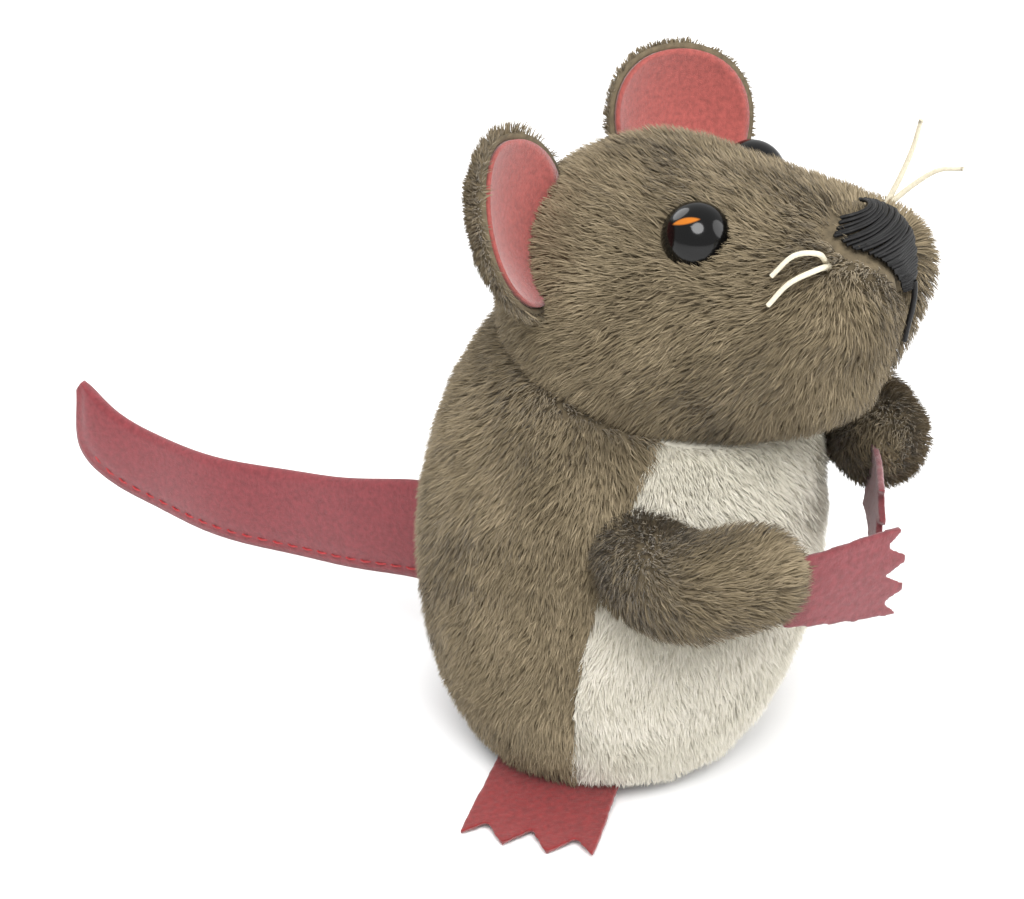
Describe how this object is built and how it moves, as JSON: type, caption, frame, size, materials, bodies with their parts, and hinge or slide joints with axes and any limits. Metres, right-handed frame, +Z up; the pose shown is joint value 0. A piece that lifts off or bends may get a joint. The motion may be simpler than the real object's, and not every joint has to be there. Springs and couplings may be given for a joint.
{
  "type": "clockwork mouse",
  "caption": "Plush-covered clockwork mouse that stands upright on wheels under its base, with felt ears, paws, feet and tail, a swivel head, swinging arms and a side key.",
  "frame": {"origin": "centre of the underside of the base plate, 3 mm above the floor that the wheels, the skid and the felt feet stand on", "axes": "+Z up, the mouse faces -Y with its tail along +Y, and its right side is -X, so the winding key is on +X"},
  "size_m": [0.0842, 0.1494, 0.1077],
  "materials": {
    "grey_plush": "short pile plush",
    "white_plush": "short pile plush",
    "pink_felt": "wool felt",
    "red_felt": "wool felt",
    "thread_cream": "waxed thread",
    "thread_black": "satin stitch",
    "thread_red": "sewing thread",
    "wadding": "loose fibre",
    "eye": "polished",
    "black_plastic": "moulded",
    "white_plastic": "moulded",
    "red_plastic": "moulded",
    "steel": "bright",
    "brass": "stamped",
    "key_brass": "polished",
    "tyre_rubber": "matt"
  },
  "bodies": {
    "torso": {"base_plate": "black_plastic", "front_skid": "white_plastic", "motor_screws": "steel", "right_motor_plate": "steel", "left_motor_plate": "steel", "motor_pillars": "brass", "pillar_screws": "steel", "mainspring": "steel", "motor_cover": "black_plastic", "key_eyelet": "brass", "body_stuffing": "wadding", "back_plush": "grey_plush", "belly_plush": "white_plush", "neck_body_disc": "black_plastic", "neck_pin": "steel", "neck_washer": "steel", "right_foot": "red_felt", "left_foot": "red_felt"},
    "head": {"neck_head_disc": "black_plastic", "head_stuffing": "wadding", "head_plush": "grey_plush", "right_ear_back": "grey_plush", "left_ear_back": "grey_plush", "right_ear_lining": "pink_felt", "left_ear_lining": "pink_felt", "right_eye": "eye", "left_eye": "eye", "eye_washers": "black_plastic", "nose_embroidery": "thread_black", "mouth_stitch": "thread_black", "right_whiskers": "thread_cream", "left_whiskers": "thread_cream"},
    "right_arm": {"right_arm_plush": "grey_plush", "right_arm_stuffing": "wadding", "right_hand": "pink_felt"},
    "left_arm": {"left_arm_plush": "grey_plush", "left_arm_stuffing": "wadding", "left_hand": "pink_felt"},
    "tail": {"tail_felt": "pink_felt", "tail_stitching": "thread_red"},
    "great_wheel": {"great_wheel": "brass", "click_rivet": "steel", "click_spring": "brass"},
    "key": {"winding_arbor": "steel", "ratchet_wheel": "steel", "key_stem": "key_brass", "key_bow": "key_brass"},
    "click": {"click": "steel"},
    "intermediate": {"intermediate_arbor": "steel", "intermediate_pinion": "brass", "intermediate_wheel": "brass"},
    "governor": {"governor_arbor": "steel", "governor_flywheel": "brass"},
    "drive_axle": {"drive_axle": "steel", "axle_pinion": "brass", "right_wheel": "red_plastic", "left_wheel": "red_plastic", "right_tyre": "tyre_rubber", "left_tyre": "tyre_rubber"}
  },
  "joints": [
    {"name": "head_swivel", "type": "hinge", "parent": "torso", "child": "head", "pos_m": [0, -0.0082, 0.0643], "axis": [0, -0.2723, 0.9622], "range_deg": [-30, 30]},
    {"name": "right_arm_swing", "type": "hinge", "parent": "torso", "child": "right_arm", "pos_m": [-0.028, -0.0155, 0.045], "axis": [0, 0, -1], "range_deg": [0, 35]},
    {"name": "left_arm_swing", "type": "hinge", "parent": "torso", "child": "left_arm", "pos_m": [0.028, -0.0155, 0.045], "axis": [0, 0, 1], "range_deg": [0, 35]},
    {"name": "tail_swing", "type": "hinge", "parent": "torso", "child": "tail", "pos_m": [0, 0.0284, 0.0216], "axis": [0, 0, 1], "range_deg": [-25, 25]},
    {"name": "great_wheel_turn", "type": "hinge", "parent": "torso", "child": "great_wheel", "pos_m": [0, 0, 0.02259], "axis": [1, 0, 0], "continuous": true},
    {"name": "key_turn", "type": "hinge", "parent": "great_wheel", "child": "key", "pos_m": [0, 0, 0.02259], "axis": [1, 0, 0], "continuous": true},
    {"name": "click_lift", "type": "hinge", "parent": "great_wheel", "child": "click", "pos_m": [-0.0039, 0.00295, 0.02893], "axis": [1, 0, 0], "range_deg": [0, 10], "stiffness_Nm_per_rad": 0.000005},
    {"name": "intermediate_turn", "type": "hinge", "parent": "torso", "child": "intermediate", "pos_m": [0, -0.00601, 0.01162], "axis": [1, 0, 0], "continuous": true},
    {"name": "drive_axle_turn", "type": "hinge", "parent": "torso", "child": "drive_axle", "pos_m": [0, 0.004, 0.005], "axis": [1, 0, 0], "continuous": true},
    {"name": "governor_turn", "type": "hinge", "parent": "torso", "child": "governor", "pos_m": [0, -0.01221, 0.02071], "axis": [1, 0, 0], "continuous": true}
  ],
  "couplings": [
    {"joint": "intermediate_turn", "follows": "great_wheel_turn", "ratio": -4},
    {"joint": "drive_axle_turn", "follows": "great_wheel_turn", "ratio": 12},
    {"joint": "governor_turn", "follows": "great_wheel_turn", "ratio": 18}
  ]
}
